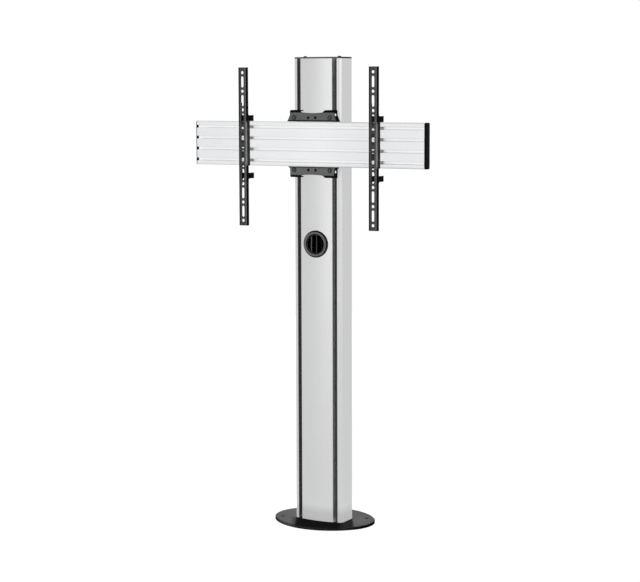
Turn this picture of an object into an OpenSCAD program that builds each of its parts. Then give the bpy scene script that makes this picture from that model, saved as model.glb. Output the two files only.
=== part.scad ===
// Bolt-down display stand: a floor column with a rail and two slotted display strips.
// The origin is the centre of the floor bolt pattern, on the floor.
// X points to the right seen from the front, -Y to the front and +Z up.

/* [Base plate] */
// Half length of the oval plate, along X
plate_a = 145; // [130:1:170]
// Half width of the oval plate, along Y
plate_b = 118; // [104:1:125]
// Radius of the plate's two round ends
plate_end_r = 93; // [80:1:100]
// Thickness of the plate
plate_t = 8; // [6:1:12]
// Bevel on the plate's upper edge
plate_bevel = 1.5; // [0.5:0.1:3]
// Distance between the anchor holes along X
anchor_span_x = 218; // [200:1:226]
// Distance between the anchor holes along Y
anchor_span_y = 90; // [70:1:96]
// Diameter of an anchor hole
anchor_d = 11; // [9:0.5:14]
// Diameter of the cable inlet through the plate
inlet_d = 48; // [30:1:56]

/* [Column] */
// Width of the column
col_w = 148; // [144:1:160]
// Depth of the column at the crown of its bowed front
col_d = 77; // [70:1:90]
// Length of the column
col_len = 1265; // [1220:1:1500]
// Distance from the plate's centre forward to the crown
col_forward = 45.5; // [40:0.5:50]
// Radius of the bowed front
front_r = 245; // [220:1:320]
// Radius of the four vertical edges
corner_r = 12; // [9:0.5:14]
// Thickness of the outer wall
col_wall = 3; // [2:0.1:4]
// Thickness of the inner webs
web_t = 2.5; // [2:0.1:3]
// Distance between the two front grooves
groove_span = 110; // [106:1:112]
// Width of a groove's mouth in the front face
mouth_w = 13; // [10:0.1:13.5]
// Width of the pocket behind the mouth
pocket_w = 21; // [19:0.1:22]
// Depth of the pocket behind the mouth
pocket_d = 15; // [14:0.1:17]
// Distance from the crown back to the pocket
pocket_back = 12; // [11:0.1:13]
// Distance between the two middle screw bosses
boss_span = 106; // [104:1:112]
// Radius of a screw boss
boss_r = 6.5; // [6:0.1:7.5]
// Distance of a rear boss from the two outer faces beside it
boss_edge = 9; // [8:0.1:10]

/* [Tracks] */
// Wall of the black C-rail in each groove
track_wall = 1.6; // [1.2:0.1:2]
// Width of the C-rail's mouth
track_mouth = 8.4; // [8.2:0.1:8.6]
// Distance from the crown back to the C-rail's front edge
track_back = 8.3; // [7.5:0.1:9]

/* [Top cap] */
// Thickness of the cap
cap_t = 4; // [3:0.5:8]
// Depth of the locating rim below the cap
cap_rim = 6; // [4:0.5:12]

/* [Cable port] */
// Distance from the rail's centre down to the port's centre
port_below = 271; // [268:1:600]
// Outer radius of the bezel
bezel_r = 37; // [36:0.5:39]
// Radius of the bezel's front mouth
bezel_mouth_r = 26.5; // [26:0.5:28]
// How far the bezel stands out from the crown
bezel_out = 5; // [4:0.5:10]
// Radius of the bezel's outer front edge
bezel_round = 3.5; // [2.5:0.5:4]
// Radius of the bezel's inner front edge
mouth_round = 2; // [1:0.5:3]
// Outer radius of the sleeve behind the bezel
sleeve_r = 32.3; // [31.5:0.1:33]
// Wall of the sleeve
sleeve_wall = 2.3; // [1.8:0.1:2.6]
// Distance from the crown forward to the seat's front
seat_front = 2; // [1:0.5:3]
// Depth of the seat that the insert turns in
seat_depth = 14; // [12:0.5:16]
// Height of the snap lip behind the insert, inwards
snap_in = 1.2; // [0.8:0.1:1.5]
// Thickness of the snap lip
snap_t = 1.5; // [1:0.1:2]
// Distance from the crown back to the rear of the clamp ring
ring_back = 10; // [7:0.5:12]
// Outer radius of the clamp ring
ring_r = 40; // [38:0.5:41]
// Wall of the turning insert
comb_wall = 4.4; // [3.5:0.1:5]
// Thickness of an upright fin in the insert
fin_t = 3.2; // [2:0.1:4]
// Distance between the fins
fin_pitch = 16; // [12:0.5:17]
// Number of fins
fin_count = 3; // [2:1:3]
// Distance from the bezel's front back to the fins
fin_back = 9.2; // [6:0.1:11]

/* [Rail] */
// Distance from the column's top down to the rail's centre
rail_drop = 228; // [190:1:400]
// Length of the rail without its end caps
rail_len = 700; // [640:1:1000]
// Height of the rail
rail_h = 120; // [118:1:130]
// Depth of the rail
rail_d = 28; // [26:0.5:34]
// Wall of the rail
rail_wall = 2.5; // [2:0.1:3]
// Thickness of the webs inside the rail
rail_web = 2; // [1.5:0.1:2.5]
// Radius of the rail's long edges
rail_edge_r = 5; // [3:0.5:6]
// Distance between the grooves
groove_pitch = 30; // [28:0.5:32]
// Height of a front groove's mouth
groove_mouth = 8; // [7.9:0.1:8.6]
// Height of a rear groove's mouth
rear_mouth = 8.4; // [8.2:0.1:8.8]
// Height of the channel behind a mouth
groove_h = 14; // [13:0.1:15]
// Thickness of the lips beside a mouth
groove_lip = 3; // [2.5:0.1:3.5]
// Depth of the channel behind the lips
groove_d = 6.5; // [6:0.1:7]
// Thickness of an end cap at its edge
end_t = 2; // [1.5:0.1:3]
// Extra thickness of an end cap at its middle ridge
end_ridge = 1; // [0.5:0.1:2]
// Length of an end cap's pegs
peg_len = 12; // [8:1:20]
// Length of a nut in a rear groove
rail_nut_len = 24; // [16:1:40]

/* [Bracket] */
// Distance from the groove mouths forward to the bracket's face
face_out = 26; // [25:0.5:32]
// Depth of the bracket from its face to its rear edge
tray_d = 20; // [16:0.5:20.5]
// Thickness of the bracket
tray_t = 3; // [2:0.1:4]
// How far the bracket stands out above and below the rail
tray_out = 30.5; // [28:0.5:40]
// Width of the bracket at its ends
tray_end_w = 136; // [131:1:140]
// Width of the bracket behind the rail
tray_mid_w = 154; // [146:1:160]
// How far under the rail's edges the full width ends
mid_under = 2; // [0:1:10]
// Radius of the bracket's upper and lower front edges
tray_edge_r = 6; // [4.5:0.5:8]
// Height over which the upper corners taper
taper_top = 19; // [12:1:20]
// Height over which the lower corners taper
taper_low = 10; // [8:1:20]
// Width of the cable gap in the upper and lower edges
tray_gap_w = 66; // [56:1:72]
// Depth of the cable gap below the upper edge
tray_gap_d = 6; // [4:0.5:8]
// How far the middle of the cable gap dips below its ends
gap_dip = 2; // [1:0.5:4]
// Distance of the clamp bolts from the rail's edge
clamp_edge = 10; // [9:0.5:12]
// Distance between the two spare holes
spare_span = 22; // [18:1:30]
// Radius of a spare hole
spare_r = 4; // [3:0.1:5]
// Extra radius of the snap rim behind a hole plug
plug_rim = 0.5; // [0.3:0.1:1]
// Thickness of a hole plug's snap rim
plug_rim_t = 0.5; // [0.4:0.1:1]
// Depth of the recess in a hole plug
plug_recess = 1.2; // [0.5:0.1:1.6]
// Distance of the upper side screws from the rail's upper edge
side_up = 18; // [17:0.5:19]
// Distance of the lower side screws from the rail's lower edge
side_low = 14; // [13:0.5:18]
// Distance from the bracket's face back to the side screws
side_back = 8; // [7.5:0.5:15]
// How far a side screw reaches into its block
side_in = 3; // [2:0.1:3.2]
// Distance between the rail bolts along X
rail_bolt_span = 60; // [50:1:66]
// Width of a clamp block
block_w = 15.5; // [15:0.1:15.8]
// Height of a clamp block
block_h = 24; // [20:1:26]

/* [Display strips] */
// Distance between the strips at rest
strip_span = 400; // [300:1:420]
// How far the pair of strips stands to the right of the column
strip_shift = 9; // [0:1:15]
// Width of a strip
strip_w = 26.5; // [25.5:0.5:30]
// Length of a strip
strip_len = 428; // [422:1:450]
// Depth of a strip's side flanges above and below the rail
strip_d = 9; // [8:0.5:10]
// Thickness of a strip
strip_t = 2; // [1.5:0.1:2.5]
// Radius of a strip's long front edges
strip_edge_r = 3; // [2.6:0.1:4]
// Distance between the holes
hole_pitch = 50; // [48:1:52]
// Number of holes in a strip
hole_count = 9; // [7:2:9]
// Diameter of a hole
hole_d = 8.5; // [7:0.1:9]
// Width of a slot
slot_w = 8; // [7:0.1:9]
// Length of a slot
slot_len = 30; // [26:0.5:32]
// How far the strips' middle hangs below the rail's centre
strip_drop = 9; // [0:1:12]
// Distance from the rail's face forward to the strips' front
strip_out = 16.5; // [14:0.5:20]

/* [Shoes] */
// Thickness of a shoe's side plates
side_t = 2.5; // [2:0.1:3]
// Thickness of a shoe's web
shoe_web_t = 4; // [3.8:0.1:5]
// Depth of the side plates above and below the rail, from the strips' front
side_d = 12.5; // [11:0.5:13.5]
// How far a shoe runs past the rail's edges
shoe_out = 50.5; // [49:0.5:60]
// Radius of the side plates' rear corners
shoe_round = 3; // [1:0.5:4]
// Distance that the ears stay in front of the bracket's face
ear_clear = 5; // [4.8:0.1:10]
// Height of the upper ear
ear_top_h = 16; // [12:0.1:22]
// Height of the lower ear
ear_low_h = 15.4; // [12:0.1:18]
// Distance from the rail's lower edge down to the lower ear
ear_low_gap = 20; // [15:0.5:22]
// Radius of the inner corner beside each ear
ear_fillet = 4; // [2:0.5:5]
// Distance from a shoe's ends to its rivets
rivet_edge = 4; // [3.5:0.1:6]
// Distance from the strips' front back to the rivets
rivet_back = 6; // [5:0.1:6.5]
// Length of a rail key
key_len = 31; // [28:1:60]

/* [Fasteners] */
// Thread radius of the clamp and rail bolts
m8_r = 4; // [3.9:0.01:4.1]
// Thread radius of the column's and the keys' screws
m6_r = 3; // [2.9:0.01:3.1]
// Thread radius of the side screws
m4_r = 2; // [1.9:0.01:2.1]
// Radius of a button head, in thread radii
button_ratio = 1.75; // [1.6:0.01:1.8]
// Height of a button head, in thread radii
button_rise = 1.1; // [0.8:0.01:1.15]
// Corner radius of the socket in a button head, in thread radii
socket_ratio = 0.72; // [0.5:0.01:0.8]
// Depth of the socket in a button head, in thread radii
socket_rise = 0.6; // [0.4:0.01:0.7]
// Radius of a side screw's domed head
pan_r = 3.8; // [3:0.1:4]
// Height of a side screw's domed head
pan_h = 2.4; // [1.5:0.1:3]
// Radius of a countersunk head
csk6_r = 6; // [5.5:0.1:6.5]
// Corner radius of the hexagon socket in a countersunk head
csk_socket_r = 2.3; // [1.5:0.1:2.6]
// Depth of the hexagon socket in a countersunk head
csk_socket_h = 2; // [1:0.1:2.4]
// How far a base screw reaches into the column
base_screw_in = 22; // [12:1:40]
// How far a cap screw reaches into the column
cap_screw_in = 16; // [10:1:30]
// Thickness of a clamp nut
clamp_nut_t = 9; // [6:0.1:9.8]
// Length of a clamp nut
clamp_nut_len = 28; // [20:1:40]
// How far a bolt ends short of its nut's far face
bolt_short = 0.5; // [0.2:0.1:1]
// Radius of a rivet's shank
rivet_r = 1.6; // [1.2:0.1:1.8]
// Radius of a rivet's head
rivet_head_r = 3.3; // [3:0.1:3.8]
// Height of a rivet's head
rivet_head_h = 1.8; // [1:0.1:2.5]
// Radius of a rivet's formed end
rivet_foot_r = 2.5; // [2.1:0.1:3.4]
// Height of a rivet's formed end
rivet_foot_h = 1; // [0.6:0.1:1.5]

/* [Clearances] */
// Radial clearance of a shank in its thread, a turning fit or a flat guide
fit = 0.05; // [0.02:0.01:0.09]
// Gap round pieces that slide or drop in
slip = 0.2; // [0.1:0.05:0.3]
// Gap between the clamp blocks and the bowed front
block_gap = 0.3; // [0.2:0.05:0.5]
// Extra radius of a bolt's through hole
hole_ease = 0.5; // [0.3:0.1:0.7]

/* [Hidden] */
$fn = 96;
arc_fn = 480;
small_fn = 48;
// Extra length of a cutting body past the face it opens
over = 1;
// How far a shank runs up into its own head
rim_join = 0.5;

// Column section
front_y = -col_forward;
back_y = front_y + col_d;
mid_y = front_y + col_d / 2;
arc_y = front_y + front_r;
corner_x = col_w / 2 - corner_r;
corner_y = arc_y - sqrt(pow(front_r - corner_r, 2) - pow(corner_x, 2));
tangent_x = corner_x * front_r / (front_r - corner_r);
tangent_y = arc_y - sqrt(pow(front_r, 2) - pow(tangent_x, 2));
rear_corner_y = back_y - corner_r;
groove_x = groove_span / 2;
mouth_y = arc_y - sqrt(pow(front_r, 2) - pow(groove_x, 2));
pocket_y = front_y + pocket_back;
pocket_end = pocket_y + pocket_d;
duct_x = groove_x - pocket_w / 2 - web_t;
col_top = plate_t + col_len;
rail_z = col_top - rail_drop;
port_z = rail_z - port_below;
boss_points = [for (s = [-1, 1]) [s * boss_span / 2, mid_y]];
rear_points = [for (s = [-1, 1]) [s * (col_w / 2 - boss_edge), back_y - boss_edge]];
clamp_nut_y = pocket_y + slip + track_wall + slip;
clamp_nut_hw = pocket_w / 2 - 2 * slip - track_wall;

// Base plate: two end discs and two wide side arcs that meet them without a step
end_x = plate_a - plate_end_r;
end_rise = plate_b - plate_end_r;
side_off = (pow(end_x, 2) - pow(end_rise, 2)) / (2 * end_rise);
side_r = plate_b + side_off;
side_x = side_r * end_x / (side_r - plate_end_r);

// Port, measured forward from the crown
seat_r = sleeve_r - sleeve_wall;
seat_rear = seat_front - seat_depth;
sleeve_end = seat_rear - snap_t;
bezel_sag = front_r - sqrt(pow(front_r, 2) - pow(bezel_r, 2));
comb_r = seat_r - fit;
comb_h = seat_depth - 2 * slip;
fin_h = comb_h - (fin_back - bezel_out + seat_front - slip);

// Rail and bracket
face_y = mouth_y - face_out;
rail_front = face_y - rail_d;
groove_levels = [for (i = [-1.5:1:1.5]) i * groove_pitch];
rear_levels = [groove_levels[0], groove_levels[3]];
chamber_hh = groove_pitch / 2 - groove_h / 2 - rail_web;
rail_nut_t = groove_d - 2 * slip;
rail_nut_y = face_y - groove_lip - slip;
tray_back = face_y + tray_t;
tray_h = rail_h + 2 * tray_out;
side_levels = [rail_h / 2 + side_up, -rail_h / 2 - side_low];
clamp_z = rail_h / 2 + clamp_edge;
gap_z = tray_h / 2 - tray_gap_d;
gap_r = (pow(tray_gap_w / 2, 2) + pow(gap_dip, 2)) / (2 * gap_dip);

// Strips and shoes
strip_y = rail_front - strip_out;
strip_z = rail_z - strip_drop;
shoe_x = strip_w / 2 - strip_t - fit;
shoe_y = strip_y + strip_t;
shoe_len = rail_h + 2 * shoe_out;
shoe_bevel = strip_edge_r - strip_t;
ear_d = strip_out + rail_d - ear_clear;
rivet_z = shoe_len / 2 - rivet_edge;
key_neck = groove_mouth - 2 * slip;
key_t = groove_d - 2 * slip;
csk6_h = csk6_r - m6_r;

// A vertical bore or pin centred at a point of the plan
module upright(p, r, z0, z1) translate([p[0], p[1], z0]) cylinder(r = r, h = z1 - z0);

// Children stand on the plane y = y0 at (x, z) and point to the front
module facing(x, y0, z) translate([x, y0, z]) rotate([90, 0, 0]) children();

// A bore or pin along Y from y0 back to y1
module bore_y(x, z, r, y0, y1) facing(x, y1, z) cylinder(r = r, h = y1 - y0);

// A bore along X through everything from -x to x
module bore_x(y, z, r, x) translate([-x, y, z]) rotate([0, 90, 0]) cylinder(r = r, h = 2 * x);

// A section drawn in (Y, Z), extruded along X from x0 to x1
module along_x(x0, x1) translate([x0, 0, 0]) rotate([90, 0, 90]) linear_extrude(x1 - x0) children();

// A dome of radius r and height h on the plane z = 0
module dome(r, h) {
  ball_r = (pow(r, 2) + pow(h, 2)) / (2 * h);
  intersection() {
    cylinder(r = r, h = h);
    translate([0, 0, h - ball_r]) sphere(r = ball_r);
  }
}

// A button head with its hexagon socket, standing on z = 0, for a thread of radius m
module button_head(m) difference() {
  head_h = button_rise * m;
  rim_h = 0.3 * head_h;
  union() {
    cylinder(r = button_ratio * m, h = rim_h);
    translate([0, 0, rim_h]) dome(button_ratio * m, head_h - rim_h);
  }
  translate([0, 0, head_h - socket_rise * m]) cylinder(r = socket_ratio * m, h = head_h, $fn = 6);
}

// Floor plate
module bevelled_disc(r) rotate_extrude($fn = arc_fn)
  polygon([[0, 0], [r, 0], [r, plate_t - plate_bevel], [r - plate_bevel, plate_t], [0, plate_t]]);

module base_plate() color("#26282a") difference() {
  union() {
    for (s = [-1, 1]) translate([s * end_x, 0, 0]) bevelled_disc(plate_end_r);
    intersection() {
      translate([0, side_off, 0]) bevelled_disc(side_r);
      translate([0, -side_off, 0]) bevelled_disc(side_r);
      translate([-side_x, -plate_b, 0]) cube([2 * side_x, 2 * plate_b, plate_t]);
    }
  }
  for (sx = [-1, 1], sy = [-1, 1])
    upright([sx * anchor_span_x / 2, sy * anchor_span_y / 2], anchor_d / 2, -over, plate_t + over);
  upright([0, mid_y], inlet_d / 2, -over, plate_t + over);
  for (p = concat(boss_points, rear_points)) {
    upright(p, m6_r + hole_ease, -over, plate_t + over);
    translate([p[0], p[1], 0]) cylinder(r1 = csk6_r + slip + fit, r2 = m6_r + slip + fit, h = csk6_h);
  }
}

module base_screws() color("#9a9c9e") for (p = concat(boss_points, rear_points)) difference() {
  union() {
    translate([p[0], p[1], slip]) cylinder(r1 = csk6_r, r2 = m6_r, h = csk6_h);
    upright(p, m6_r - fit, csk6_h, plate_t + base_screw_in);
  }
  translate([p[0], p[1], slip - over]) cylinder(r = csk_socket_r, h = csk_socket_h + over, $fn = 6);
}

// Column
// The column's outline, drawn in by the inset
module column_outline(inset = 0) {
  intersection() {
    translate([0, arc_y]) circle(r = front_r - inset, $fn = arc_fn);
    polygon([[-tangent_x, tangent_y], [-corner_x, corner_y], [corner_x, corner_y],
             [tangent_x, tangent_y], [tangent_x, front_y - over], [-tangent_x, front_y - over]]);
  }
  for (s = [-1, 1], y = [corner_y, rear_corner_y])
    translate([s * corner_x, y]) circle(r = corner_r - inset);
  translate([inset - col_w / 2, corner_y]) square([col_w - 2 * inset, rear_corner_y - corner_y]);
  translate([-corner_x, corner_y]) square([2 * corner_x, back_y - inset - corner_y]);
}

// What a groove takes away: its mouth and the pocket behind
module groove_cut(s) {
  translate([s * groove_x - mouth_w / 2, front_y]) square([mouth_w, pocket_end - front_y - over]);
  translate([s * groove_x - pocket_w / 2, pocket_y]) square([pocket_w, pocket_d]);
}

module column_section() difference() {
  column_outline();
  difference() {
    column_outline(col_wall);
    for (s = [-1, 1]) {
      translate([s * (duct_x + web_t / 2) - web_t / 2, front_y]) square([web_t, col_d]);
      translate([s > 0 ? duct_x : -col_w / 2, front_y])
        square([col_w / 2 - duct_x, pocket_end + web_t - front_y]);
      translate([s > 0 ? duct_x : -boss_span / 2, mid_y - web_t / 2])
        square([boss_span / 2 - duct_x, web_t]);
    }
    for (p = concat(boss_points, rear_points)) translate(p) circle(r = boss_r);
  }
  for (s = [-1, 1]) groove_cut(s);
  for (p = concat(boss_points, rear_points)) translate(p) circle(r = m6_r);
}

module column() color("#d4d6d8") difference() {
  translate([0, 0, plate_t]) linear_extrude(col_len) column_section();
  bore_y(0, port_z, sleeve_r + slip, front_y - over, pocket_y);
}

// The black C-rail that the clamp nuts run in
module track(s) color("#1c1d1f") translate([s * groove_x, 0, plate_t]) linear_extrude(col_len) difference() {
  union() {
    translate([slip - mouth_w / 2, front_y + track_back])
      square([mouth_w - 2 * slip, pocket_back - track_back + slip + track_wall]);
    translate([slip - pocket_w / 2, pocket_y + slip])
      square([pocket_w - 2 * slip, pocket_d - 2 * slip]);
  }
  translate([-track_mouth / 2, front_y]) square([track_mouth, pocket_back + slip + track_wall + over]);
  translate([slip + track_wall - pocket_w / 2, pocket_y + slip + track_wall])
    square([pocket_w - 2 * (slip + track_wall), pocket_d - 2 * (slip + track_wall)]);
}

// Top cap
// The rim that drops into the cable duct, drawn in by the inset
module rim_outline(inset) {
  rim_x = duct_x - slip - inset;
  rim_front = arc_y - sqrt(pow(front_r - col_wall, 2) - pow(duct_x, 2)) + slip + inset;
  translate([-rim_x, rim_front]) square([2 * rim_x, back_y - col_wall - slip - inset - rim_front]);
}

module top_cap() color("#3c3e40") difference() {
  union() {
    translate([0, 0, col_top]) linear_extrude(cap_t) column_outline();
    translate([0, 0, col_top - cap_rim]) linear_extrude(cap_rim) rim_outline(0);
  }
  translate([0, 0, col_top - cap_rim - over]) linear_extrude(cap_rim + over) rim_outline(col_wall);
  for (p = boss_points) upright(p, m6_r + hole_ease, col_top - over, col_top + cap_t + over);
}

module cap_screws() color("#55575a") for (p = boss_points) {
  translate([p[0], p[1], col_top + cap_t]) button_head(m6_r);
  upright(p, m6_r - fit, col_top - cap_screw_in, col_top + cap_t + rim_join);
}

// Cable port
module port_bezel() color("#232427") {
  front_w = bezel_r - bezel_round - bezel_mouth_r;
  difference() {
    facing(0, front_y, port_z) rotate_extrude() difference() {
      union() {
        translate([bezel_mouth_r, -bezel_sag - over])
          square([bezel_r - bezel_mouth_r, bezel_sag + over + bezel_out - bezel_round]);
        translate([bezel_mouth_r, 0]) square([front_w, bezel_out - mouth_round]);
        translate([bezel_mouth_r + mouth_round, 0]) square([front_w - mouth_round, bezel_out]);
        translate([bezel_r - bezel_round, bezel_out - bezel_round]) circle(r = bezel_round);
        translate([bezel_mouth_r + mouth_round, bezel_out - mouth_round]) circle(r = mouth_round);
      }
      translate([0, -bezel_sag - 2 * over]) square([seat_r, bezel_sag + 2 * over + seat_front]);
    }
    translate([0, arc_y, port_z - bezel_r - over])
      cylinder(r = front_r + fit, h = 2 * (bezel_r + over), $fn = arc_fn);
  }
  facing(0, front_y, port_z) rotate_extrude() {
    translate([seat_r, sleeve_end]) square([sleeve_wall, seat_front + over - sleeve_end]);
    translate([seat_r - snap_in, sleeve_end]) square([sleeve_r - seat_r + snap_in, snap_t]);
  }
}

// The ring behind the front wall that clamps the bezel
module port_ring() color("#2c2d30") intersection() {
  facing(0, front_y, port_z) rotate_extrude()
    translate([sleeve_r + fit, -ring_back]) square([ring_r - sleeve_r - fit, ring_back]);
  translate([0, arc_y, port_z - ring_r - over])
    cylinder(r = front_r - col_wall - fit, h = 2 * (ring_r + over), $fn = arc_fn);
}

// The insert that turns in the bezel's seat; cables leave between its fins
module port_comb() color("#2a2b2e") facing(0, front_y, port_z) translate([0, 0, seat_rear + slip]) {
  difference() {
    cylinder(r = comb_r, h = comb_h);
    translate([0, 0, -over]) cylinder(r = comb_r - comb_wall, h = comb_h + 2 * over);
  }
  intersection() {
    cylinder(r = comb_r - comb_wall / 2, h = comb_h);
    for (i = [0:fin_count - 1])
      translate([(i - (fin_count - 1) / 2) * fin_pitch - fin_t / 2, -comb_r, 0])
        cube([fin_t, 2 * comb_r, fin_h]);
  }
}

// Bracket
// The bracket's front view, drawn in by the inset
module tray_front(inset) {
  end_hw = tray_end_w / 2 - inset;
  mid_hw = tray_mid_w / 2 - inset;
  hh = tray_h / 2 - inset;
  mid_z = rail_h / 2 - mid_under;
  half = [[end_hw, hh], [end_hw, mid_z + taper_top], [mid_hw, mid_z],
          [mid_hw, -mid_z], [end_hw, -mid_z - taper_low], [end_hw, -hh]];
  polygon(concat(half, [for (i = [5:-1:0]) [-half[i][0], half[i][1]]]));
}

// The bracket's side view in (Y, Z), drawn in by the inset, with round front edges
module tray_side(inset, y_end) {
  hh = tray_h / 2 - inset;
  edge = tray_edge_r - inset;
  translate([face_y + tray_edge_r, -hh]) square([y_end - face_y - tray_edge_r, 2 * hh]);
  translate([face_y + inset, edge - hh]) square([tray_edge_r, 2 * (hh - edge)]);
  for (s = [-1, 1]) translate([face_y + tray_edge_r, s * (hh - edge)]) circle(r = edge);
}

module tray_form(inset, y_end) intersection() {
  translate([0, y_end, 0]) rotate([90, 0, 0]) linear_extrude(y_end - face_y + over) tray_front(inset);
  along_x(-tray_mid_w, tray_mid_w) tray_side(inset, y_end);
}

module bracket() color("#3a3b3d") translate([0, 0, rail_z]) difference() {
  tray_form(0, face_y + tray_d);
  tray_form(tray_t, face_y + tray_d + over);
  for (m = [0, 1]) mirror([0, 0, m])
    translate([0, face_y + tray_d + over, 0]) rotate([90, 0, 0]) linear_extrude(tray_d + 2 * over) {
      polygon([[-tray_gap_w / 2, gap_z], [tray_gap_w / 2, gap_z],
               [tray_gap_w / 2 + tray_gap_d + over, gap_z + tray_gap_d + over],
               [-tray_gap_w / 2 - tray_gap_d - over, gap_z + tray_gap_d + over]]);
      intersection() {
        translate([0, gap_z - gap_dip + gap_r]) circle(r = gap_r, $fn = arc_fn);
        translate([-tray_gap_w / 2, gap_z - 2 * gap_dip]) square([tray_gap_w, 2 * gap_dip + over]);
      }
    }
  for (sz = [-1, 1], sx = [-1, 1]) {
    bore_y(sx * groove_x, sz * clamp_z, m8_r + hole_ease, face_y - over, tray_back + over);
    bore_y(sx * spare_span / 2, sz * clamp_z, spare_r, face_y - over, tray_back + over);
    bore_y(sx * rail_bolt_span / 2, sz * rear_levels[1], m8_r + hole_ease, face_y - over, tray_back + over);
  }
  for (z = side_levels) {
    bore_x(face_y + side_back, z, m4_r + hole_ease, tray_mid_w);
    for (m = [0, 1]) mirror([m, 0, 0]) translate([tray_end_w / 2, face_y + side_back, z])
      rotate([0, 90, 0]) cylinder(r = pan_r + slip, h = tray_mid_w);
  }
}

// Plugs that close the spare holes between the clamp bolts, with a snap rim behind the bracket
module hole_plugs() color("#17181a") for (sx = [-1, 1], sz = [-1, 1])
  facing(sx * spare_span / 2, tray_back, rail_z + sz * clamp_z) difference() {
    union() {
      translate([0, 0, -fit - plug_rim_t]) cylinder(r = spare_r - fit, h = tray_t - slip + fit + plug_rim_t);
      translate([0, 0, -fit - plug_rim_t]) cylinder(r = spare_r + plug_rim, h = plug_rim_t);
    }
    translate([0, 0, tray_t - slip - plug_recess]) cylinder(r = spare_r / 2, h = tray_t);
  }

// Screws through the bracket's side walls into the clamp blocks
module side_screws() color("#b9bbbd") for (m = [0, 1], z = side_levels) mirror([m, 0, 0])
  translate([groove_x + block_w / 2 - side_in, face_y + side_back, rail_z + z]) rotate([0, 90, 0]) {
    head_x = tray_end_w / 2 - groove_x - block_w / 2 + side_in;
    cylinder(r = m4_r - fit, h = head_x + rim_join);
    translate([0, 0, head_x]) dome(pan_r, pan_h);
  }

// Blocks between the bracket and the column's bowed front
module clamp_blocks() color("#1f2022") for (sx = [-1, 1], sz = [-1, 1]) difference() {
  translate([sx * groove_x - block_w / 2, tray_back, rail_z + sz * clamp_z - block_h / 2])
    cube([block_w, pocket_y - tray_back, block_h]);
  translate([0, arc_y, rail_z - tray_h])
    cylinder(r = front_r + block_gap, h = 2 * tray_h, $fn = arc_fn);
  bore_y(sx * groove_x, rail_z + sz * clamp_z, m8_r + hole_ease, tray_back - over, pocket_y + over);
  translate([sx * (groove_x + block_w / 2), face_y + side_back, rail_z + side_levels[sz > 0 ? 0 : 1]])
    rotate([0, -sx * 90, 0]) translate([0, 0, -over]) cylinder(r = m4_r, h = side_in + fit + over);
}

module clamp_bolts() color("#2b2c2e") for (sx = [-1, 1], sz = [-1, 1]) {
  facing(sx * groove_x, face_y, rail_z + sz * clamp_z) button_head(m8_r);
  bore_y(sx * groove_x, rail_z + sz * clamp_z, m8_r - fit,
         face_y - rim_join, clamp_nut_y + clamp_nut_t - bolt_short);
}

module clamp_nuts() color("#8d8f91") for (sx = [-1, 1], sz = [-1, 1]) difference() {
  translate([sx * groove_x - clamp_nut_hw, clamp_nut_y, rail_z + sz * clamp_z - clamp_nut_len / 2])
    cube([2 * clamp_nut_hw, clamp_nut_t, clamp_nut_len]);
  bore_y(sx * groove_x, rail_z + sz * clamp_z, m8_r, clamp_nut_y - over, clamp_nut_y + clamp_nut_t + over);
}

// Rail
// The rail's outline in (Y, Z)
module rail_outline() {
  r = rail_edge_r;
  translate([rail_front + r, -rail_h / 2]) square([rail_d - 2 * r, rail_h]);
  translate([rail_front, r - rail_h / 2]) square([rail_d, rail_h - 2 * r]);
  for (y = [rail_front + r, face_y - r], s = [-1, 1]) translate([y, s * (rail_h / 2 - r)]) circle(r = r);
}

// One groove, with its mouth on the line y = 0 and its channel towards +Y
module rail_groove(mouth) {
  translate([-over, -mouth / 2]) square([groove_lip + 2 * over, mouth]);
  translate([groove_lip, -groove_h / 2]) square([groove_d, groove_h]);
}

// The rail's hollow chambers between the grooves
module rail_chambers() {
  deep = groove_lip + groove_d + rail_web;
  for (z = [-groove_pitch, 0, groove_pitch])
    translate([rail_front + rail_wall, z - chamber_hh]) square([rail_d - 2 * rail_wall, 2 * chamber_hh]);
  for (z = [groove_levels[1], groove_levels[2]])
    translate([rail_front + deep, z - groove_h / 2]) square([rail_d - rail_wall - deep, groove_h]);
  for (z = rear_levels)
    translate([rail_front + deep, z - groove_h / 2]) square([rail_d - 2 * deep, groove_h]);
}

module rail() color("#dcdee0") translate([0, 0, rail_z]) along_x(-rail_len / 2, rail_len / 2) difference() {
  rail_outline();
  for (z = groove_levels) translate([rail_front, z]) rail_groove(groove_mouth);
  for (z = rear_levels) translate([face_y, z]) mirror([1, 0]) rail_groove(rear_mouth);
  rail_chambers();
}

// An end cap with a middle ridge, and pegs that sit in two of the rail's chambers
module rail_cap(s) color("#17181a") translate([s * rail_len / 2, 0, rail_z]) mirror([s > 0 ? 0 : 1, 0, 0]) {
  peg_hh = chamber_hh - slip;
  intersection() {
    along_x(0, end_t + end_ridge) rail_outline();
    translate([0, 0, -rail_h / 2]) linear_extrude(rail_h)
      polygon([[0, rail_front], [end_t, rail_front], [end_t + end_ridge, rail_front + rail_d / 2],
               [end_t, face_y], [0, face_y]]);
  }
  for (z = [-groove_pitch, groove_pitch]) along_x(-peg_len, 0)
    translate([rail_front + rail_wall + slip, z - peg_hh])
      square([rail_d - 2 * (rail_wall + slip), 2 * peg_hh]);
}

module rail_bolts() color("#8d8f91") for (sx = [-1, 1], z = rear_levels) {
  translate([sx * rail_bolt_span / 2, tray_back, rail_z + z]) rotate([-90, 0, 0]) button_head(m8_r);
  bore_y(sx * rail_bolt_span / 2, rail_z + z, m8_r - fit,
         rail_nut_y - rail_nut_t + bolt_short, tray_back + rim_join);
}

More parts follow.
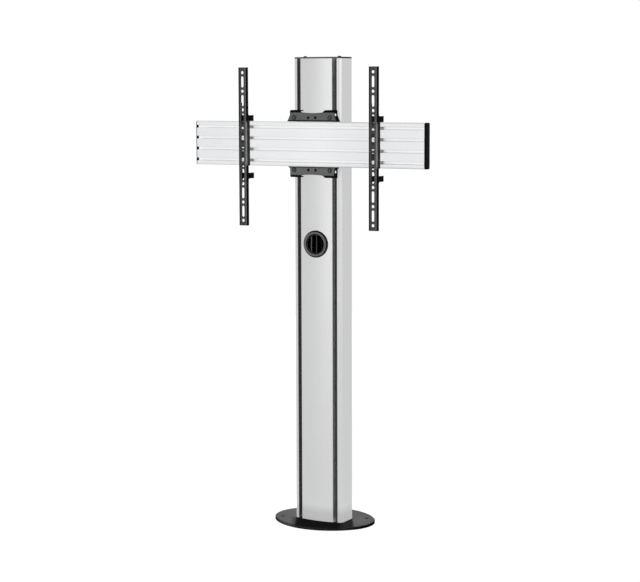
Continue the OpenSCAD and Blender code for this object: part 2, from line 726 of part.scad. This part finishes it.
module rail_nuts() color("#8d8f91") for (sx = [-1, 1], z = rear_levels) difference() {
  translate([(sx * rail_bolt_span - rail_nut_len) / 2, rail_nut_y - rail_nut_t,
             rail_z + z - groove_h / 2 + slip])
    cube([rail_nut_len, rail_nut_t, groove_h - 2 * slip]);
  bore_y(sx * rail_bolt_span / 2, rail_z + z, m8_r, rail_nut_y - rail_nut_t - over, rail_nut_y + over);
}

// Display strips and shoes; s is -1 on the left and 1 on the right
function arm_x(s) = strip_shift + s * strip_span / 2;

// A channel section in (X, Y), filled, with round front edges
module channel_form(hw, y0, y1, r) {
  translate([-hw, y0 + r]) square([2 * hw, y1 - y0 - r]);
  translate([r - hw, y0]) square([2 * (hw - r), r + over]);
  for (s = [-1, 1]) translate([s * (hw - r), y0 + r]) circle(r = r, $fn = small_fn);
}

module strip(s) color("#404144") translate([arm_x(s), strip_y, strip_z]) difference() {
  last = (hole_count - 1) / 2;
  arc_z = (slot_len - slot_w) / 2;
  union() {
    translate([0, 0, -strip_len / 2]) linear_extrude(strip_len) difference() {
      channel_form(strip_w / 2, 0, strip_d, strip_edge_r);
      channel_form(strip_w / 2 - strip_t, strip_t, strip_d + over, strip_edge_r - strip_t);
    }
    for (m = [0, 1]) mirror([m, 0, 0]) translate([strip_w / 2 - strip_t, strip_d - over, strip_drop - rail_h / 2])
      cube([strip_t, strip_out - slip - strip_d + over, rail_h]);
  }
  for (i = [-last:last]) bore_y(0, i * hole_pitch, hole_d / 2, -over, strip_t + over, $fn = small_fn);
  for (i = [-last:last - 1]) translate([0, 0, (i + 0.5) * hole_pitch]) {
    translate([-slot_w / 2, -over, -arc_z]) cube([slot_w, strip_t + 2 * over, 2 * arc_z]);
    for (e = [-1, 1]) bore_y(0, e * arc_z, slot_w / 2, -over, strip_t + over, $fn = small_fn);
  }
  for (e = [-1, 1]) bore_x(rivet_back, strip_drop + e * rivet_z, rivet_r + fit, strip_w, $fn = small_fn);
}

// A shoe's side plate in (Y, Z), with Y from the strip's front and Z from the rail's centre
module side_plate() {
  rail_top = rail_h / 2 + slip;
  ear_top = rail_top + ear_top_h;
  low_top = -rail_h / 2 - ear_low_gap;
  low_end = low_top - ear_low_h;
  difference() {
    union() {
      translate([strip_t, -shoe_len / 2]) square([side_d - strip_t - shoe_round, shoe_len]);
      translate([strip_t, shoe_round - shoe_len / 2])
        square([side_d - strip_t, shoe_len - 2 * shoe_round]);
      for (e = [-1, 1]) translate([side_d - shoe_round, e * (shoe_len / 2 - shoe_round)])
        circle(r = shoe_round);
      translate([strip_t, -rail_h / 2]) square([strip_out - fit - strip_t, rail_h / 2 + rail_top]);
      translate([strip_t, rail_top]) square([ear_d - strip_t, ear_top_h]);
      translate([strip_t, low_end]) square([ear_d - strip_t, ear_low_h]);
      translate([side_d - over, ear_top]) square([ear_fillet + over, ear_fillet]);
      translate([side_d - over, low_end - ear_fillet]) square([ear_fillet + over, ear_fillet]);
    }
    for (z = [ear_top + ear_fillet, low_end - ear_fillet])
      translate([side_d + ear_fillet, z]) circle(r = ear_fillet);
  }
}

module shoe(s) color("#333437") translate([arm_x(s), strip_y, rail_z]) difference() {
  union() {
    for (m = [0, 1]) mirror([m, 0, 0]) along_x(shoe_x - side_t, shoe_x) side_plate();
    translate([-shoe_x, strip_t, -rail_h / 2]) cube([2 * shoe_x, shoe_web_t, rail_h]);
  }
  for (m = [0, 1]) mirror([m, 0, 0]) translate([0, 0, -shoe_len]) linear_extrude(2 * shoe_len)
    polygon([[shoe_x - shoe_bevel, strip_t], [shoe_x, strip_t + shoe_bevel],
             [shoe_x + over, strip_t + shoe_bevel], [shoe_x + over, strip_t - over],
             [shoe_x - shoe_bevel, strip_t - over]]);
  for (z = groove_levels) {
    bore_y(0, z, m6_r + hole_ease, strip_t - over, strip_t + shoe_web_t + over, $fn = small_fn);
    facing(0, strip_t + csk6_h, z) cylinder(r1 = m6_r + slip, r2 = csk6_r + slip, h = csk6_h);
  }
  for (e = [-1, 1]) bore_x(rivet_back, e * rivet_z, rivet_r + fit, strip_w, $fn = small_fn);
}

// Rivets through the strip's flanges and the shoe's side plates
module rivets(s) color("#6c6e70") for (m = [0, 1], e = [-1, 1])
  translate([arm_x(s), strip_y + rivet_back, rail_z + e * rivet_z]) mirror([m, 0, 0]) rotate([0, 90, 0]) {
    foot_x = shoe_x - side_t - rivet_foot_h;
    translate([0, 0, foot_x]) cylinder(r = rivet_foot_r, h = rivet_foot_h, $fn = small_fn);
    translate([0, 0, foot_x]) cylinder(r = rivet_r, h = strip_w / 2 - foot_x + rim_join, $fn = small_fn);
    translate([0, 0, strip_w / 2]) dome(rivet_head_r, rivet_head_h, $fn = small_fn);
  }

// T-shaped keys in the rail's front grooves
module keys(s) color("#9c9ea0") for (z = groove_levels) translate([arm_x(s), rail_front, rail_z + z])
  difference() {
    along_x(-key_len / 2, key_len / 2) {
      translate([groove_lip + slip, slip - groove_h / 2]) square([key_t, groove_h - 2 * slip]);
      translate([slip, -key_neck / 2]) square([groove_lip + over, key_neck]);
    }
    bore_y(0, 0, m6_r, -over, groove_lip + groove_d, $fn = small_fn);
  }

module key_screws(s) color("#c9cbcd") for (z = groove_levels) difference() {
  union() {
    facing(arm_x(s), shoe_y + fit + csk6_h, rail_z + z) cylinder(r1 = m6_r, r2 = csk6_r, h = csk6_h);
    bore_y(arm_x(s), rail_z + z, m6_r - fit, shoe_y + csk6_h,
           rail_front + groove_lip + slip + key_t - bolt_short);
  }
  facing(arm_x(s), shoe_y + fit + csk_socket_h, rail_z + z)
    cylinder(r = csk_socket_r, h = csk_socket_h + over, $fn = 6);
}

base_plate();
base_screws();
column();
track(-1);  // track_left
track(1);  // track_right
top_cap();
cap_screws();
port_bezel();
port_ring();
port_comb();
bracket();
hole_plugs();
side_screws();
clamp_blocks();
clamp_bolts();
clamp_nuts();
rail();
rail_cap(-1);  // rail_cap_left
rail_cap(1);  // rail_cap_right
rail_bolts();
rail_nuts();
strip(-1);  // strip_left
shoe(-1);  // shoe_left
rivets(-1);  // rivets_left
keys(-1);  // keys_left
key_screws(-1);  // key_screws_left
strip(1);  // strip_right
shoe(1);  // shoe_right
rivets(1);  // rivets_right
keys(1);  // keys_right
key_screws(1);  // key_screws_right
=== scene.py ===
import math

import bmesh
import bpy
from mathutils import Matrix, Vector


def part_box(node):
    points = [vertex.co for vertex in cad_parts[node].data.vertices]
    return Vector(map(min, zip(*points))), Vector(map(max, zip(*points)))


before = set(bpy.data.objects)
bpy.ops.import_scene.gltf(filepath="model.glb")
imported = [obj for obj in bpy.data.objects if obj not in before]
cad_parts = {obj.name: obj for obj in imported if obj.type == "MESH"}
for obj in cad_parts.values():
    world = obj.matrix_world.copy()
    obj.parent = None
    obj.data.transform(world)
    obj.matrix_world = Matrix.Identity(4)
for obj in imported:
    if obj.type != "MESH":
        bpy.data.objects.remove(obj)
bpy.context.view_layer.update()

scene = bpy.context.scene
scene.view_settings.view_transform = "Standard"
X, Y, Z = range(3)


# Camera, at the photograph's viewing angle

AZIMUTH, PITCH, ROLL = (math.radians(angle) for angle in (29.68, -6.65, -0.18))
CAMERA_AT = (2.4031, -4.2399, 1.2094)
SENSOR_MM = 36
LENS_MM = 100.7
FAR_CLIP = 200

ahead = Vector((-math.sin(AZIMUTH) * math.cos(PITCH),
                math.cos(AZIMUTH) * math.cos(PITCH),
                math.sin(PITCH)))
level_right = Vector((math.cos(AZIMUTH), math.sin(AZIMUTH), 0))
level_up = level_right.cross(ahead)
right = math.cos(ROLL) * level_right + math.sin(ROLL) * level_up
up = -math.sin(ROLL) * level_right + math.cos(ROLL) * level_up
rows = [(right[axis], up[axis], -ahead[axis], CAMERA_AT[axis]) for axis in (X, Y, Z)]

camera = bpy.data.objects.new("camera", bpy.data.cameras.new("camera"))
camera.data.sensor_width = SENSOR_MM
camera.data.lens = LENS_MM
camera.data.clip_end = FAR_CLIP
camera.matrix_world = Matrix((*rows, (0, 0, 0, 1)))
scene.collection.objects.link(camera)
scene.camera = camera


# Node helpers

class Nodes:
    """Short ways to add nodes to a tree."""

    def __init__(self, tree):
        self.tree = tree

    def node(self, kind, **settings):
        added = self.tree.nodes.new(kind)
        for key, value in settings.items():
            setattr(added, key, value)
        return added

    def link(self, source, target):
        self.tree.links.new(source, target)

    def calc(self, operation, *values):
        added = self.node("ShaderNodeMath", operation=operation)
        for socket, value in zip(added.inputs, values):
            if isinstance(value, (int, float)):
                socket.default_value = value
            else:
                self.link(value, socket)
        return added.outputs[0]

    def times(self, product, *factors):
        for factor in factors:
            product = self.calc("MULTIPLY", product, factor)
        return product

    def fade(self, value, edge, before=0, after=1):
        """before up to the edge's start, after from its end on, and evenly between the two."""
        added = self.node("ShaderNodeMapRange")
        self.link(value, added.inputs["Value"])
        for socket, number in zip(("From Min", "From Max", "To Min", "To Max"),
                                  (*edge, before, after)):
            added.inputs[socket].default_value = number
        return added.outputs["Result"]

    def mix(self, share, off, on):
        """off where the share is 0 and on where it is 1."""
        return self.calc("ADD", self.times(self.calc("SUBTRACT", 1, share), off),
                         self.times(share, on))


class Shader(Nodes):
    """A Principled material with procedural detail in object space, in metres."""

    NOISE_ROUGHNESS = 0.55
    BEVEL_SAMPLES = 6

    def __init__(self, name, metallic=0.0, specular=0.5, anisotropic=0.0):
        self.material = bpy.data.materials.new(name)
        self.material.use_nodes = True
        super().__init__(self.material.node_tree)
        self.bsdf = next(node for node in self.tree.nodes if node.type == "BSDF_PRINCIPLED")
        self.bsdf.inputs["Metallic"].default_value = metallic
        self.bsdf.inputs["Specular IOR Level"].default_value = specular
        self.bsdf.inputs["Anisotropic"].default_value = anisotropic
        self.coords = self.node("ShaderNodeTexCoord").outputs

    def xyz(self, which):
        """The X, Y and Z of the surface's place ("Object") or direction ("Normal")."""
        parts = self.node("ShaderNodeSeparateXYZ")
        self.link(self.coords[which], parts.inputs[0])
        return tuple(parts.outputs)

    def noise(self, cells, detail):
        """Noise with so many cells per metre, one number for all axes or one for each."""
        place = self.node("ShaderNodeMapping")
        place.inputs["Scale"].default_value = cells if isinstance(cells, tuple) else (cells,) * 3
        texture = self.node("ShaderNodeTexNoise")
        texture.inputs["Scale"].default_value = 1.0
        texture.inputs["Detail"].default_value = detail
        texture.inputs["Roughness"].default_value = self.NOISE_ROUGHNESS
        self.link(self.coords["Object"], place.inputs["Vector"])
        self.link(place.outputs["Vector"], texture.inputs["Vector"])
        return texture.outputs["Fac"]

    def blend(self, first, *others):
        """The sum of textures, each given with its weight."""
        weighted = self.times(*first)
        return self.calc("ADD", weighted, self.blend(*others)) if others else weighted

    def paint(self, texture, reach, level, contrast, warm=0.0, shades=()):
        """Base colour: the level by two factors at the ends of the reach, times the shades,
        which paint light and shade.
        """
        ramp = self.node("ShaderNodeValToRGB")
        for element, position, factor in zip(ramp.color_ramp.elements, reach, contrast):
            tone = level * factor
            element.position = position
            element.color = (tone * (1 + warm), tone, tone * (1 - warm), 1)
        self.link(texture, ramp.inputs["Fac"])
        colour = ramp.outputs["Color"]
        if shades:
            scaled = self.node("ShaderNodeVectorMath", operation="SCALE")
            self.link(colour, scaled.inputs[0])
            self.link(self.times(*(shade(self) for shade in shades)), scaled.inputs["Scale"])
            colour = scaled.outputs[0]
        self.link(colour, self.bsdf.inputs["Base Color"])

    def roughen(self, texture, reach, rough, below, above):
        """Roughness that follows the texture."""
        self.link(self.fade(texture, reach, rough - below, rough + above),
                  self.bsdf.inputs["Roughness"])

    def relief(self, height, depth, strength, edge):
        """Bump of the given depth in metres, on edges softened by edge metres."""
        bump = self.node("ShaderNodeBump")
        bump.inputs["Strength"].default_value = strength
        bump.inputs["Distance"].default_value = depth
        self.link(height, bump.inputs["Height"])
        soft = self.node("ShaderNodeBevel", samples=self.BEVEL_SAMPLES)
        soft.inputs["Radius"].default_value = edge
        self.link(soft.outputs["Normal"], bump.inputs["Normal"])
        self.link(bump.outputs["Normal"], self.bsdf.inputs["Normal"])


# Places on the pieces at rest, from the frame

def span(name, axis):
    """The least and greatest place of a piece along one axis."""
    return tuple(corner[axis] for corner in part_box(name))


def middle_and_half(name, axis):
    low, high = span(name, axis)
    return (low + high) / 2, (high - low) / 2


def shifted(edge, origin):
    return tuple(origin + offset for offset in edge)


RAIL_Z, RAIL_HALF = middle_and_half("rail", Z)
RAIL_RIGHT = span("rail", X)[1]
RAIL_FRONT = span("rail", Y)[0]
TRACK_SIDE = span("track_right", X)[0]
TRACK_FRONT = span("track_right", Y)[0]
COLUMN_SIDE = span("column", X)[1]
COLUMN_FRONT, COLUMN_BACK = span("column", Y)
PLATE_TOP = span("base_plate", Z)[1]
PORT_Z, PORT_RADIUS = middle_and_half("port_bezel", Z)


# Shades: painted light and shade, as factors on a material's colour, by place and direction on
# the piece

def past_rail(shader):
    """How far a place is above the rail's upper edge or below its lower one."""
    rise = shader.calc("SUBTRACT", shader.xyz("Object")[Z], RAIL_Z)
    return shader.calc("SUBTRACT", shader.calc("ABSOLUTE", rise), RAIL_HALF)


def faces(sides, beside=None):
    """1 on faces that look to the front and painted shade at level sides on the others; next to
    the rail, painted light from it at level beside instead.
    """
    forward_edge = (0.96, 0.995)
    beside_edge = (-0.006, 0.002)

    def shade(shader):
        forward = shader.fade(shader.times(shader.xyz("Normal")[Y], -1), forward_edge)
        level = sides
        if beside is not None:
            level = shader.fade(past_rail(shader), beside_edge, beside, sides)
        return shader.mix(forward, level, 1)
    return shade


def column_shade(shader):
    """Painted shade in the cable duct, and a painted reflection of the plate that makes the
    column a little darker near it.
    """
    duct, foot = 0.03, 0.8
    duct_side = shifted((-0.0022, -0.0017), TRACK_SIDE)
    duct_front = shifted((0.0043, 0.005), COLUMN_FRONT)
    duct_back = shifted((-0.0023, -0.0015), COLUMN_BACK)
    foot_edge = shifted((0.022, 0.045), PLATE_TOP)
    x, y, z = shader.xyz("Object")
    inside = shader.times(shader.fade(shader.calc("ABSOLUTE", x), duct_side, 1, 0),
                          shader.fade(y, duct_front),
                          shader.fade(y, duct_back, 1, 0))
    return shader.times(shader.mix(inside, 1, duct), shader.fade(z, foot_edge, foot, 1))


def rail_shade(shader):
    """Painted light in the grooves, and painted shade at the right end and along the upper and
    lower edge.
    """
    groove, right_end, rim = 1.17, 0.91, 0.75
    groove_edge = shifted((0.0008, 0.0014), RAIL_FRONT)
    right_edge = shifted((-0.3, -0.17), RAIL_RIGHT)
    rim_edge = (-0.0026, -0.0018)
    x, y, _ = shader.xyz("Object")
    return shader.times(shader.fade(past_rail(shader), rim_edge, 1, rim),
                        shader.fade(x, right_edge, 1, right_end),
                        shader.fade(y, groove_edge, 1, groove))


def track_shade(inside):
    """Painted light and shade in a track: the factor inside on its inner sides, a lighter one on
    its back, and 1 on its lips.
    """
    back = 1.2
    lips_edge = shifted((0.0022, 0.0026), TRACK_FRONT)
    back_edge = shifted((0.011, 0.014), TRACK_FRONT)

    def shade(shader):
        y = shader.xyz("Object")[Y]
        return shader.mix(shader.fade(y, lips_edge), 1, shader.fade(y, back_edge, inside, back))
    return shade


def plate_shade(shader):
    """Painted shadow where the column keeps the spot lamp off the plate, and painted shade on
    the plate's rim.
    """
    shadow, rim_aside, rim_front = 0.3, 0.1, 0.8
    slant, offset = 0.57, 0.0257
    shadow_side = shifted((-0.008, 0.012), COLUMN_SIDE)
    shadow_back = shifted((-0.0045, 0.0155), COLUMN_FRONT)
    upward_edge = (0.5, 0.9)
    forward_edge = (0.6, 1.0)
    x, y, _ = shader.xyz("Object")
    _, normal_y, normal_z = shader.xyz("Normal")
    aside = shader.calc("ADD", shader.calc("ADD", x, shader.times(y, slant)), offset)
    shadowed = shader.times(shader.fade(shader.calc("ABSOLUTE", aside), shadow_side, 1, 0),
                            shader.fade(y, shadow_back, 1, 0))
    rim = shader.fade(shader.times(normal_y, -1), forward_edge, rim_aside, rim_front)
    return shader.times(shader.mix(shadowed, 1, shadow),
                        shader.calc("MAXIMUM", shader.fade(normal_z, upward_edge), rim))


def bracket_shade(shader):
    """Painted shade along the folds and next to the rail, and painted light on the lower half.
    """
    fold, contact, lower_half = 0.08, 0.15, 1.17
    bottom, top = span("bracket", Z)
    top_edge = shifted((-0.0075, -0.006), top)
    bottom_edge = shifted((0.006, 0.0075), bottom)
    contact_edge = (0.0025, 0.0045)
    half_edge = shifted((-0.01, 0.01), RAIL_Z)
    z = shader.xyz("Object")[Z]
    return shader.times(shader.fade(past_rail(shader), contact_edge, contact, 1),
                        shader.fade(z, half_edge, lower_half, 1),
                        shader.fade(z, top_edge, 1, fold),
                        shader.fade(z, bottom_edge, fold, 1))


def strip_shade(name):
    """Painted shade along a strip's left bend and a painted highlight along its right one."""
    dark, light = 0.1, 2.2
    strip_left, strip_right = span(name, X)
    dark_edge = shifted((0.003, 0.006), strip_left)
    light_edge = shifted((-0.006, -0.004), strip_right)

    def shade(shader):
        x = shader.xyz("Object")[X]
        return shader.times(shader.fade(x, dark_edge, dark, 1),
                            shader.fade(x, light_edge, 1, light))
    return shade


def collar_shade(shader):
    """Painted shade along the upper and lower rim of the port's collar, and painted light
    within.
    """
    face, rim = 1.2, 0.12
    flatten = 0.85
    rim_edge = shifted((-0.0055, -0.003), PORT_RADIUS)
    x, _, z = shader.xyz("Object")
    across = shader.times(x, flatten)
    rise = shader.calc("SUBTRACT", z, PORT_Z)
    squares = shader.calc("ADD", shader.times(across, across), shader.times(rise, rise))
    return shader.fade(shader.calc("SQRT", squares), rim_edge, face, rim)


def fin_shade(shader):
    """Painted light on the left fin of the port's insert, and painted shade that is darkest on
    the right one.
    """
    left_fin, right_fin = 2.4, 0.1
    between_fins = (-0.012, 0.012)
    return shader.fade(shader.xyz("Object")[X], between_fins, left_fin, right_fin)


# Materials

def anodised(name, level, along, edge, rough, warm=-0.004, shades=()):
    """Extruded and anodised aluminium with fine draw lines along one axis."""
    reach = (0.35, 0.65)
    shader = Shader(name, metallic=1.0, anisotropic=0.25)

    def lines(cells_along, cells_across, detail):
        cells = tuple(cells_along if axis == along else cells_across for axis in (X, Y, Z))
        return shader.noise(cells, detail)

    fine = lines(2.5, 900, detail=4)
    wide = lines(0.8, 55, detail=2)
    cloud = shader.noise(9, detail=2)
    mixed = shader.blend((fine, 0.45), (wide, 0.3), (cloud, 0.25))
    shader.paint(mixed, reach, level, (0.965, 1.03), warm, shades)
    shader.roughen(mixed, reach, rough, below=0.05, above=0.06)
    shader.relief(fine, depth=0.00003, strength=0.3, edge=edge)
    return shader.material


def coated(name, level, edge, rough, specular, grain, depth=0.00007, shades=()):
    """Powder coat: an orange-peel skin with a fine grain."""
    reach = (0.36, 0.64)
    shader = Shader(name, specular=specular)
    fine = shader.noise(grain, detail=3)
    peel = shader.noise(grain / 5, detail=2)
    cloud = shader.noise(14, detail=3)
    mixed = shader.blend((fine, 0.5), (peel, 0.2), (cloud, 0.3))
    shader.paint(mixed, reach, level, (0.82, 1.2), shades=shades)
    shader.roughen(mixed, reach, rough, below=0.08, above=0.1)
    shader.relief(shader.calc("ADD", fine, peel), depth, strength=0.35, edge=edge)
    return shader.material


def moulded(name, level, edge, rough, specular, shades=()):
    """Moulded plastic with a finely eroded surface."""
    reach = (0.36, 0.64)
    shader = Shader(name, specular=specular)
    fine = shader.noise(2600, detail=2)
    cloud = shader.noise(30, detail=2)
    mixed = shader.blend((fine, 0.6), (cloud, 0.4))
    shader.paint(mixed, reach, level, (0.8, 1.25), shades=shades)
    shader.roughen(mixed, reach, rough, below=0.06, above=0.1)
    shader.relief(fine, depth=0.00004, strength=0.3, edge=edge)
    return shader.material


def plated(name, level, edge, rough, warm=0.0):
    """Plated steel with fine turning marks and cloudy patches."""
    reach = (0.38, 0.62)
    shader = Shader(name, metallic=1.0)
    fine = shader.noise(1800, detail=3)
    cloud = shader.noise(160, detail=3)
    mixed = shader.blend((fine, 0.4), (cloud, 0.6))
    shader.paint(mixed, reach, level, (0.86, 1.1), warm)
    shader.roughen(mixed, reach, rough, below=0.08, above=0.12)
    shader.relief(fine, depth=0.00003, strength=0.3, edge=edge)
    return shader.material


column_metal = anodised("column_anodised", level=0.63, along=Z, edge=0.0012, rough=0.38,
                        shades=[column_shade])
rail_metal = anodised("rail_anodised", level=0.8, along=X, edge=0.0008, rough=0.4, warm=-0.012,
                      shades=[rail_shade])
# The two tracks share one anodise, with painted shade inside the left one and painted light
# inside the right one
track_painted_shade_inside = anodised("track_painted_shade_inside", level=0.105, along=Z, edge=0.0004, rough=0.45,
                      shades=[track_shade(0.3)])
track_painted_light_inside = anodised("track_painted_light_inside", level=0.105, along=Z, edge=0.0004, rough=0.45,
                       shades=[track_shade(6.0)])
plate_coat = coated("plate_coat", level=0.09, edge=0.0008, rough=0.5, specular=0.0, grain=1100,
                    shades=[plate_shade])
shoe_coat = coated("shoe_coat", level=0.03, edge=0.0005, rough=0.5, specular=0.012, grain=1500,
                   shades=[faces(0.5, beside=10)])
bracket_coat = coated("bracket_coat", level=0.112, edge=0.0008, rough=0.55, specular=0.015,
                      grain=1000, depth=0.0001, shades=[faces(0.15), bracket_shade])
bolt_coat = coated("bolt_coat", level=0.11, edge=0.0002, rough=0.5, specular=0.03, grain=2200,
                   depth=0.00003, shades=[faces(0.5)])
cap_coat = coated("cap_coat", level=0.09, edge=0.0006, rough=0.42, specular=0.1, grain=1300)
screw_coat = coated("screw_coat", level=0.02, edge=0.0003, rough=0.45, specular=0.02, grain=2200,
                    depth=0.00003)
fastener_coat = coated("fastener_coat", level=0.08, edge=0.0003, rough=0.45, specular=0.06,
                       grain=2200, depth=0.00003)
black_plastic = moulded("black_plastic", level=0.009, edge=0.0005, rough=0.5, specular=0.02)
port_plastic = moulded("port_plastic", level=0.1, edge=0.0004, rough=0.35, specular=0.06,
                       shades=[faces(0.04), collar_shade])
comb_plastic = moulded("comb_plastic", level=0.035, edge=0.0004, rough=0.5, specular=0.02,
                       shades=[faces(0.06), fin_shade])
zinc = plated("zinc", level=0.72, edge=0.0002, rough=0.24, warm=0.01)
key_steel = plated("key_steel", level=0.3, edge=0.0003, rough=0.34)

LOOKS = {
    "base_plate": plate_coat, "base_screws": zinc, "column": column_metal,
    "track_left": track_painted_shade_inside, "track_right": track_painted_light_inside,
    "top_cap": cap_coat, "cap_screws": screw_coat,
    "port_bezel": port_plastic, "port_ring": black_plastic, "port_comb": comb_plastic,
    "bracket": bracket_coat, "hole_plugs": black_plastic, "side_screws": zinc,
    "clamp_blocks": black_plastic, "clamp_bolts": bolt_coat, "clamp_nuts": zinc,
    "rail": rail_metal, "rail_cap_left": black_plastic, "rail_cap_right": black_plastic,
    "rail_bolts": zinc, "rail_nuts": zinc,
}
for side in ("left", "right"):
    strip_coat = coated(f"strip_coat_{side}", level=0.062, edge=0.0006, rough=0.5,
                        specular=0.015, grain=1500,
                        shades=[faces(0.04, beside=2.2), strip_shade(f"strip_{side}")])
    LOOKS.update({
        f"strip_{side}": strip_coat, f"shoe_{side}": shoe_coat, f"rivets_{side}": fastener_coat,
        f"keys_{side}": key_steel, f"key_screws_{side}": zinc})

# The dark pieces aren't mirrored in the silver ones
MIRRORED = (column_metal, rail_metal, zinc, key_steel)
for name, look in LOOKS.items():
    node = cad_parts[name]
    node.data.materials.clear()
    node.data.materials.append(look)
    node.visible_glossy = look in MIRRORED


# Floor and background, which are white wherever they are seen

FLOOR_REACH = 40
FLOOR_Z = -0.0002
FLOOR_COLOUR = (0.1, 0.1, 0.1, 1)
FLOOR_GLOW = (0.985, 1.0)
FLOOR_GLOW_DISTANCES = (1.5, 5.0)
WHITE = (1, 1, 1, 1)
SKY_LIGHT = 0.06


def seen_rays(nodes):
    """1 for camera, glossy and transmission rays, 0 for the rest and after a matte bounce."""
    path = nodes.node("ShaderNodeLightPath").outputs
    seen = nodes.calc("MAXIMUM", path["Is Camera Ray"], path["Is Glossy Ray"])
    seen = nodes.calc("MAXIMUM", seen, path["Is Transmission Ray"])
    return nodes.times(seen, nodes.calc("LESS_THAN", path["Diffuse Depth"], 0.5))


def floor_material():
    """Matte grey with a white glow, which is a little weaker near the stand."""
    material = bpy.data.materials.new("floor")
    material.use_nodes = True
    nodes = Nodes(material.node_tree)
    nodes.tree.nodes.clear()
    matte = nodes.node("ShaderNodeBsdfDiffuse")
    matte.inputs["Color"].default_value = FLOOR_COLOUR
    distance = nodes.node("ShaderNodeVectorMath", operation="LENGTH")
    nodes.link(nodes.node("ShaderNodeTexCoord").outputs["Object"], distance.inputs[0])
    level = nodes.fade(distance.outputs["Value"], FLOOR_GLOW_DISTANCES, *FLOOR_GLOW)
    glow = nodes.node("ShaderNodeEmission")
    nodes.link(nodes.times(level, seen_rays(nodes)), glow.inputs["Strength"])
    total = nodes.node("ShaderNodeAddShader")
    nodes.link(matte.outputs[0], total.inputs[0])
    nodes.link(glow.outputs[0], total.inputs[1])
    nodes.link(total.outputs[0], nodes.node("ShaderNodeOutputMaterial").inputs["Surface"])
    return material


def add_floor():
    mesh = bpy.data.meshes.new("floor")
    grid = bmesh.new()
    bmesh.ops.create_grid(grid, x_segments=1, y_segments=1, size=FLOOR_REACH)
    grid.to_mesh(mesh)
    grid.free()
    mesh.materials.append(floor_material())
    floor = bpy.data.objects.new("floor", mesh)
    floor.location.z = FLOOR_Z
    scene.collection.objects.link(floor)


def add_world():
    """White where it is seen, and a faint even light on the stand."""
    world = bpy.data.worlds.new("world")
    scene.world = world
    world.use_nodes = True
    nodes = Nodes(world.node_tree)
    sky = next(node for node in nodes.tree.nodes if node.type == "BACKGROUND")
    sky.inputs["Color"].default_value = WHITE
    nodes.link(nodes.mix(seen_rays(nodes), SKY_LIGHT, 1), sky.inputs["Strength"])


add_floor()
add_world()


# Lamps

# Watts at level 1 for each square metre of the squared distance to the target
AREA_WATTS = math.pi ** 2
SPOT_WATTS = 4 * math.pi ** 2
SPOT_BLEND = 0.6


def around(azimuth, reach, z):
    """A place at an azimuth in degrees, 0 in front and 90 to the right."""
    angle = math.radians(azimuth)
    return Vector((reach * math.sin(angle), -reach * math.cos(angle), z))


def add_lamp(name, data, at, target):
    lamp = bpy.data.objects.new(name, data)
    lamp.location = at
    lamp.rotation_mode = "QUATERNION"
    lamp.rotation_quaternion = (target - at).to_track_quat("-Z", "Y")
    lamp.visible_camera = False
    scene.collection.objects.link(lamp)
    return lamp


def area(name, at, target_z, size, level, lights):
    """An area lamp aimed at the column's axis, for the matte or the mirrored part of surfaces.
    At level 1 it lights a facing surface there to its own colour."""
    target = Vector((0, 0, target_z))
    data = bpy.data.lights.new(name, "AREA")
    data.shape = "RECTANGLE"
    data.size, data.size_y = size
    data.energy = level * AREA_WATTS * (at - target).length_squared
    lamp = add_lamp(name, data, at, target)
    lamp.visible_diffuse = lights == "matte"
    lamp.visible_glossy = lights == "mirrored"


def spot(name, at, width, radius, level):
    """A spot lamp on a disc around the column's foot, for the matte part of surfaces."""
    target = Vector((0, 0, 0))
    data = bpy.data.lights.new(name, "SPOT")
    data.spot_size = 2 * math.atan(width / 2 / (at - target).length)
    data.spot_blend = SPOT_BLEND
    data.shadow_soft_size = radius
    data.energy = level * SPOT_WATTS * (at - target).length_squared
    add_lamp(name, data, at, target).visible_glossy = False


area("key", around(-6, 4.4, 1.0), target_z=0.9, size=(1.8, 1.8), level=0.95, lights="matte")
area("front", around(-8, 4.3, 1.2), target_z=0.8, size=(1.4, 3.2), level=0.06, lights="mirrored")
area("edge", around(58, 4.3, 1.9), target_z=0.9, size=(3.0, 2.0), level=0.09, lights="mirrored")
area("corner", around(80, 4.3, 1.3), target_z=0.8, size=(0.7, 3.0), level=0.035,
     lights="mirrored")
area("back", around(218, 4.2, 1.5), target_z=0.8, size=(2.2, 2.2), level=0.5, lights="matte")
spot("foot", around(209.7, 2.3, 2.1), width=0.5, radius=0.12, level=1.7)
